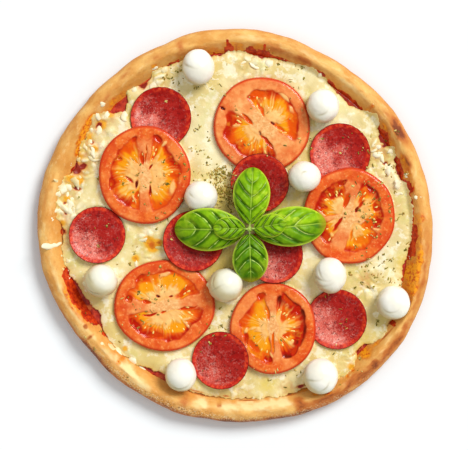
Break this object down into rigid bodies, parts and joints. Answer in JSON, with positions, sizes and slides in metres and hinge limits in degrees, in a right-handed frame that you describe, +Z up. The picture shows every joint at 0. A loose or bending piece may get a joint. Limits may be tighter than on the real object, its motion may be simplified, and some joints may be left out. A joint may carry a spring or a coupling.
{
  "type": "pizza with salami, tomato and mozzarella",
  "caption": "Round baked pizza with a raised rim, melted cheese, tomato and salami slices, small mozzarella balls and a basil sprig, lying flat.",
  "frame": {"origin": "on the plane it rests on, under the middle of the whole pizza seen from above", "axes": "+Z up, +Y towards the far edge (the top of the picture), +X towards the right edge"},
  "size_m": [0.299, 0.2976, 0.0349],
  "materials": {
    "dough": "baked, matte",
    "sauce": "moist",
    "cheese": "melted, satin",
    "tomato": "wet",
    "salami": "oily",
    "mozzarella": "smooth, moist",
    "leaf": "waxy",
    "stem": "satin"
  },
  "bodies": {
    "root": {"crust": "dough", "sauce": "sauce", "cheese": "cheese", "tomato_slice_1": "tomato", "tomato_slice_2": "tomato", "tomato_slice_3": "tomato", "tomato_slice_4": "tomato", "tomato_slice_5": "tomato", "salami_1": "salami", "salami_2": "salami", "salami_3": "salami", "salami_4": "salami", "salami_5": "salami", "salami_6": "salami", "salami_7": "salami", "salami_8": "salami", "mozzarella_1": "mozzarella", "mozzarella_2": "mozzarella", "mozzarella_3": "mozzarella", "mozzarella_4": "mozzarella", "mozzarella_5": "mozzarella", "mozzarella_6": "mozzarella", "mozzarella_7": "mozzarella", "mozzarella_8": "mozzarella", "mozzarella_9": "mozzarella", "mozzarella_10": "mozzarella", "basil_leaf_1": "leaf", "basil_leaf_2": "leaf", "basil_leaf_3": "leaf", "basil_leaf_4": "leaf", "basil_leaf_5": "leaf", "basil_leaf_6": "leaf", "basil_stem": "stem"}
  },
  "joints": []
}
